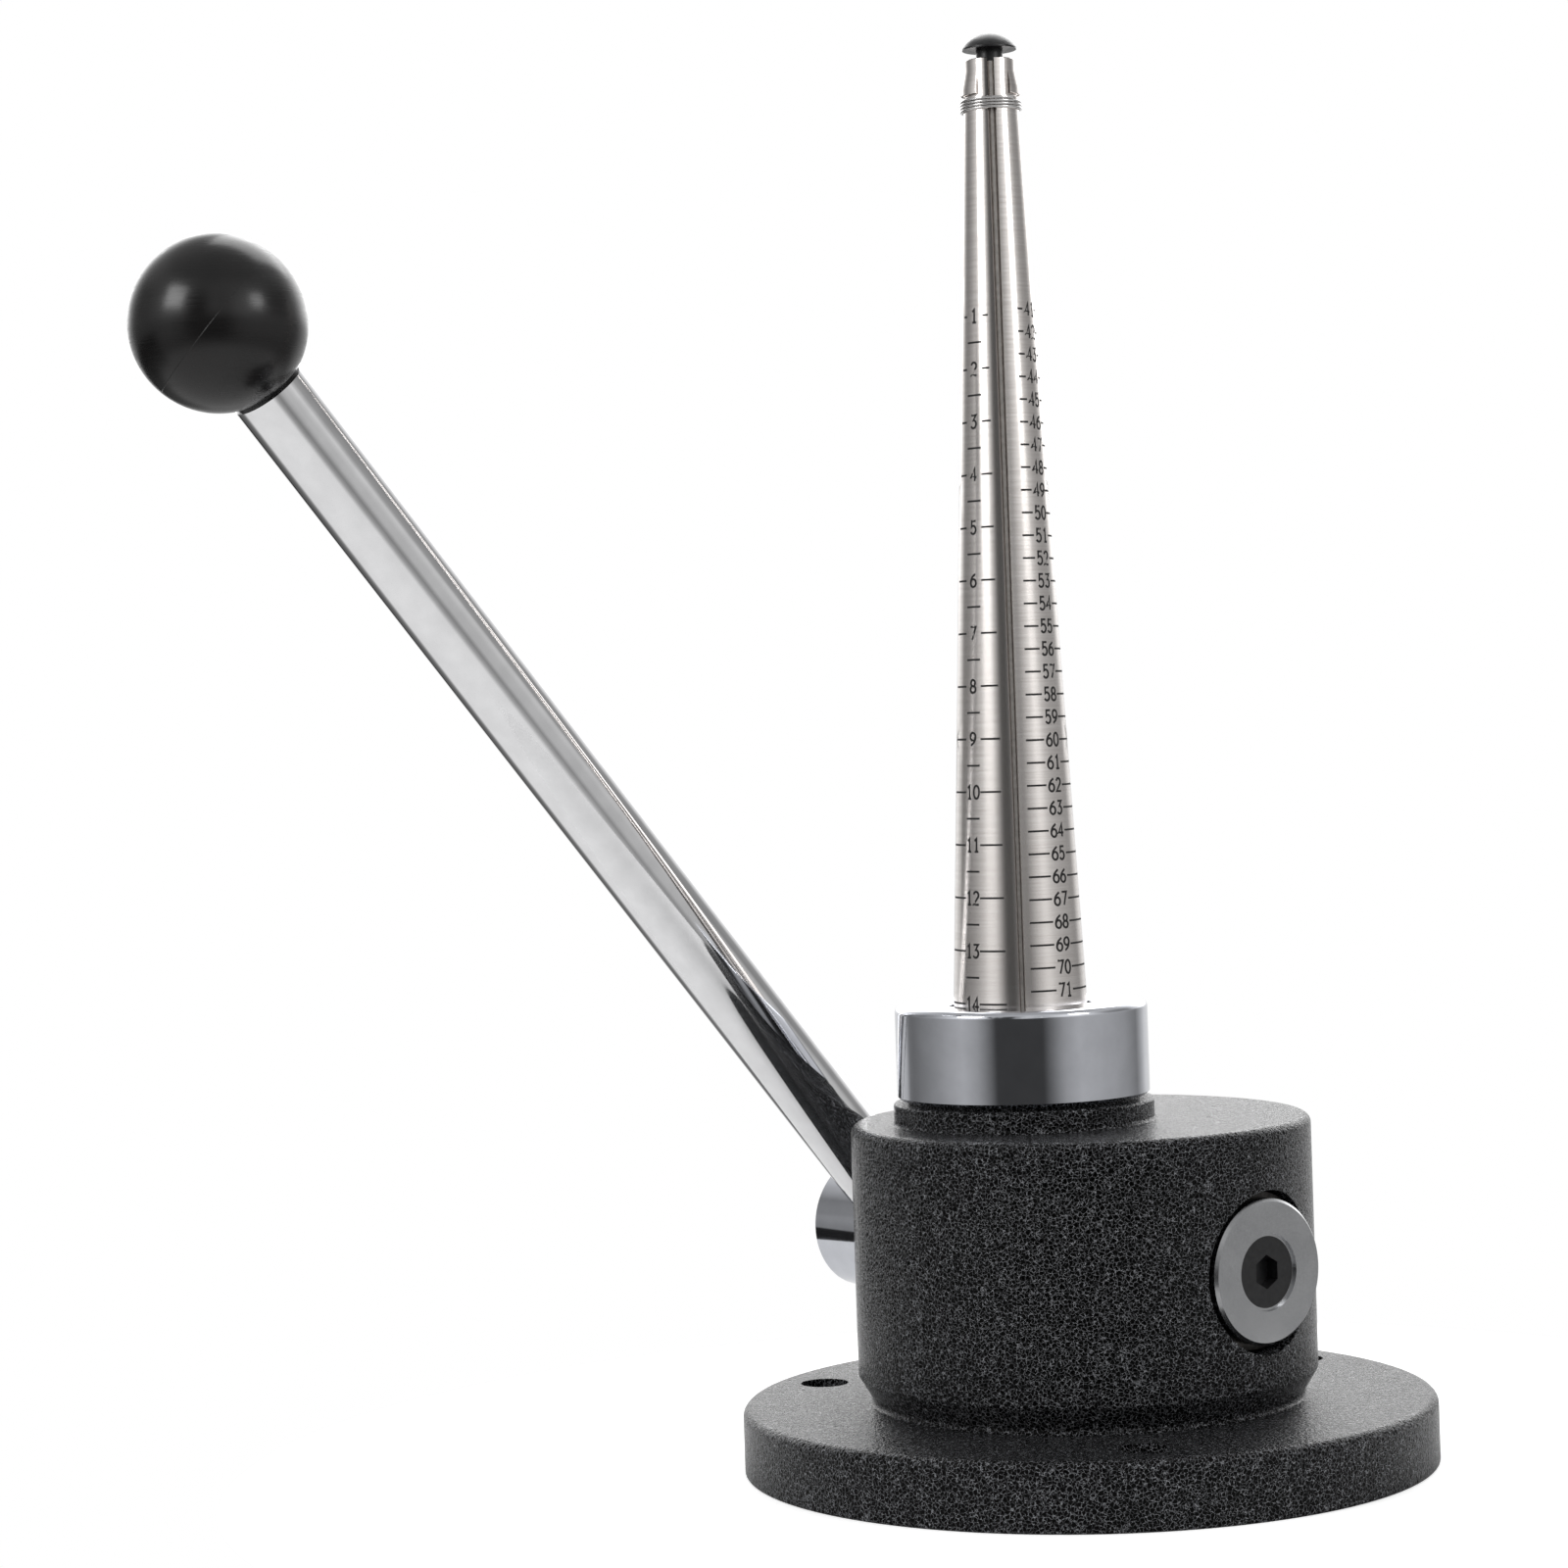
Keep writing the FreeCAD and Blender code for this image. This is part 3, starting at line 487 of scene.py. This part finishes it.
# Studio: pale floor, soft surroundings that polished steel can show, and three soft lamps
floor_radius = 150.0
floor_corners = 128
floor_glow = 0.6
lamp_aim_height = 110
lamp_distance = 900
bpy.ops.mesh.primitive_circle_add(vertices=floor_corners, radius=floor_radius * MM, fill_type="NGON")
floor = bpy.context.object
floor.name = "studio_floor"
floor_material, tree, shader = new_material("pale_floor")
shader.inputs["Base Color"].default_value = (0.75, 0.75, 0.75, 1)
shader.inputs["Roughness"].default_value = 0.9
shader.inputs["Specular IOR Level"].default_value = 0.1
rays = add(tree, "ShaderNodeLightPath")
shader.inputs["Emission Color"].default_value = (1, 1, 1, 1)
tree.links.new(math_node(tree, "MULTIPLY", rays.outputs["Is Camera Ray"], floor_glow),
               shader.inputs["Emission Strength"])
floor.data.materials.append(floor_material)

camera_azimuth_deg = 270 - view_turn_deg
world = bpy.data.worlds.new("studio")
bpy.context.scene.world = world
world.use_nodes = True
tree = world.node_tree
background = tree.nodes["Background"]
place = add(tree, "ShaderNodeTexCoord")
turned = add(tree, "ShaderNodeVectorRotate", rotation_type="Z_AXIS")
turned.inputs["Angle"].default_value = -math.radians(camera_azimuth_deg)
tree.links.new(place.outputs["Generated"], turned.inputs["Vector"])
parts = add(tree, "ShaderNodeSeparateXYZ")
tree.links.new(turned.outputs["Vector"], parts.inputs["Vector"])
azimuth = math_node(tree, "ARCTAN2", parts.outputs["Y"], parts.outputs["X"])
azimuth_share = math_node(tree, "ADD", math_node(tree, "DIVIDE", azimuth, 2 * math.pi), 0.5)
elevation = math_node(tree, "ARCSINE", parts.outputs["Z"])
elevation_share = math_node(tree, "ADD", math_node(tree, "DIVIDE", elevation, math.pi), 0.5)


def degrees_share(degrees, whole):
    return degrees / whole + 0.5


# Brightness of the surroundings as (degrees, level): round the part in the lower and upper half, then by
# elevation, then how far the walls count at an elevation, and last a dark stretch low down on one side
low_walls = [(-180, 1.5), (-150, 1.45), (-138, 1.1), (-131, 1.0), (-124, 0.4), (-116, 0.35), (-104, 0.46),
             (-85, 0.62), (-55, 1.0), (-40, 0.75), (-30, 0.4), (-22, 0.1), (20, 0.1), (30, 0.4), (40, 0.75),
             (55, 1.0), (87, 0.86), (109, 0.7), (122, 0.52), (128, 0.45), (139, 0.9), (150, 1.4), (180, 1.5)]
high_walls = [(-180, 3.4), (-150, 2.8), (-135, 1.1), (-118, 0.32), (-104, 0.26), (-88, 0.42), (-70, 0.8),
              (-50, 1.4), (-37, 1.2), (-27, 0.5), (-21, 0.1), (-7, 0.05), (-1, 0.4), (8, 0.75), (22, 0.55),
              (38, 1.05), (50, 1.3), (70, 0.8), (88, 0.36), (104, 0.28), (118, 0.34), (135, 1.1),
              (150, 2.8), (180, 3.4)]
heights = [(-90, 0.9), (-36, 0.8), (-29, 0.45), (-23, 0.3), (-16, 0.5), (-4, 0.56), (2, 0.66), (7, 0.95),
           (20, 1.0), (35, 0.8), (52, 0.5), (90, 0.45)]
side_share = [(-34, 0.0), (-20, 1.0), (24, 1.0), (45, 0.0)]
upper_share = [(2, 0.0), (8, 1.0)]
dark_heights = [(-40, 0.0), (-34, 0.6), (-20, 0.7), (-17, 0.93), (-8, 0.93), (-7, 0.0)]
dark_walls = [(-165, 0.0), (-155, 1.0), (-82, 1.0), (-70, 0.0)]
low_value = ramp(tree, azimuth_share, [(degrees_share(d, 360), v) for d, v in low_walls])
high_value = ramp(tree, azimuth_share, [(degrees_share(d, 360), v) for d, v in high_walls])
height_value = ramp(tree, elevation_share, [(degrees_share(d, 180), v) for d, v in heights])
side = ramp(tree, elevation_share, [(degrees_share(d, 180), v) for d, v in side_share])
upper = ramp(tree, elevation_share, [(degrees_share(d, 180), v) for d, v in upper_share])
walls = add(tree, "ShaderNodeMix", data_type="FLOAT")
for source, socket in ((upper, 0), (low_value, 2), (high_value, 3)):
    tree.links.new(source, walls.inputs[socket])
wall_change = math_node(tree, "MULTIPLY", math_node(tree, "SUBTRACT", walls.outputs[0], 1.0), side)
open_level = math_node(tree, "MULTIPLY", height_value, math_node(tree, "ADD", wall_change, 1.0))
low_dark = ramp(tree, elevation_share, [(degrees_share(d, 180), v) for d, v in dark_heights])
dark_side = ramp(tree, azimuth_share, [(degrees_share(d, 360), v) for d, v in dark_walls])
kept = math_node(tree, "SUBTRACT", 1.0, math_node(tree, "MULTIPLY", low_dark, dark_side))
level = math_node(tree, "MULTIPLY", open_level, kept)
rays = add(tree, "ShaderNodeLightPath")
inverse = math_node(tree, "SUBTRACT", 1.0, rays.outputs["Is Camera Ray"])
shown = math_node(tree, "ADD", math_node(tree, "MULTIPLY", level, inverse), rays.outputs["Is Camera Ray"])
background.inputs["Color"].default_value = (1, 1, 1, 1)
tree.links.new(shown, background.inputs["Strength"])


def lamp(name, azimuth_deg, elevation_deg, size, power):
    """A soft square lamp that faces the part; azimuths are seen from the camera, positive to its right."""
    angle = math.radians(camera_azimuth_deg + azimuth_deg)
    rise = math.radians(elevation_deg)
    way = Vector((math.cos(angle) * math.cos(rise), math.sin(angle) * math.cos(rise), math.sin(rise)))
    data = bpy.data.lights.new(name, "AREA")
    data.shape = "SQUARE"
    data.size = size * MM
    data.energy = power
    light = bpy.data.objects.new(name, data)
    light.location = Vector((0, 0, lamp_aim_height)) * MM + way * lamp_distance * MM
    light.rotation_mode = "QUATERNION"
    light.rotation_quaternion = (-way).to_track_quat("-Z", "Y")
    bpy.context.scene.collection.objects.link(light)


lamp("key_lamp", -50, 28, 320, 1.9)
lamp("fill_lamp", 58, 28, 260, 1.2)
lamp("back_lamp", 175, 55, 600, 3.0)

# Camera
turn = math.radians(view_turn_deg)
to_part = Matrix.Rotation(-turn, 3, "Z")
forward = Vector((math.sin(camera_yaw) * math.cos(camera_pitch),
                  math.cos(camera_yaw) * math.cos(camera_pitch), -math.sin(camera_pitch)))
right = Vector((math.cos(camera_yaw), -math.sin(camera_yaw), 0))
up = right.cross(forward)
right_rolled = right * math.cos(camera_roll) + up * math.sin(camera_roll)
up_rolled = up * math.cos(camera_roll) - right * math.sin(camera_roll)
axes = Matrix((to_part @ right_rolled, to_part @ up_rolled, -(to_part @ forward))).transposed()
camera_data = bpy.data.cameras.new("camera")
camera_data.lens = camera_lens
camera_data.sensor_width = camera_sensor
camera_data.clip_start = camera_clip_near * MM
camera_data.clip_end = camera_clip_far * MM
camera = bpy.data.objects.new("camera", camera_data)
bpy.context.scene.collection.objects.link(camera)
camera.matrix_world = Matrix.Translation(
    to_part @ Vector((0, -camera_distance, camera_height)) * MM) @ axes.to_4x4()
bpy.context.scene.camera = camera

bpy.context.scene.view_settings.view_transform = "Standard"
